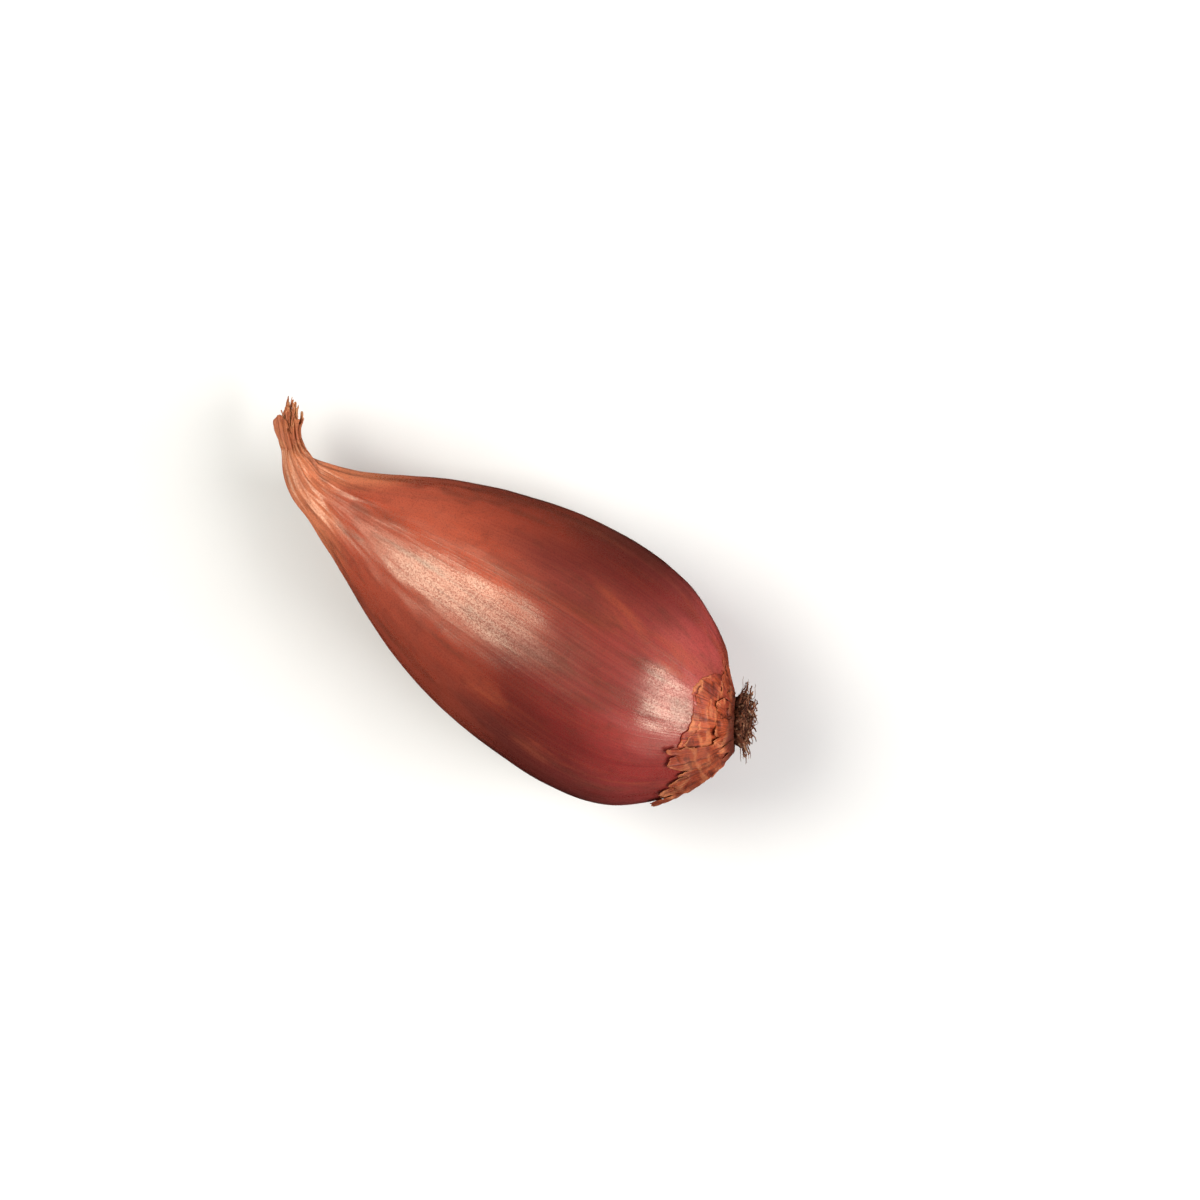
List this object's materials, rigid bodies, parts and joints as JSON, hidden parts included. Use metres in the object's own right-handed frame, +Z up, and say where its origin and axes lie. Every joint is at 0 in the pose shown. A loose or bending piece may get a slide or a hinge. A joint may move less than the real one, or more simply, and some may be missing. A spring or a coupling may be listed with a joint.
{
  "type": "shallot",
  "caption": "Long dry shallot lying on its side: teardrop bulb with a bent pleated neck, frayed dry leaf ends, torn papery skin round the root end and a tuft of dry roots.",
  "frame": {"origin": "on the surface the shallot lies on, at the middle of its box in plan", "axes": "+X along the bulb from the neck towards the roots, +Z up from the flat spot it rests on"},
  "size_m": [0.0986, 0.0424, 0.0389],
  "materials": {
    "bulb_skin": "satin dry skin, copper to rosy brown",
    "dry_leaf": "matt dry leaf, straw brown",
    "torn_skin": "crumpled papery skin, orange brown",
    "root": "matt dry root fibre, dark brown"
  },
  "bodies": {
    "root": {"bulb": "bulb_skin", "dry_leaves": "dry_leaf", "torn_skin": "torn_skin", "root_tuft": "root"}
  },
  "joints": []
}
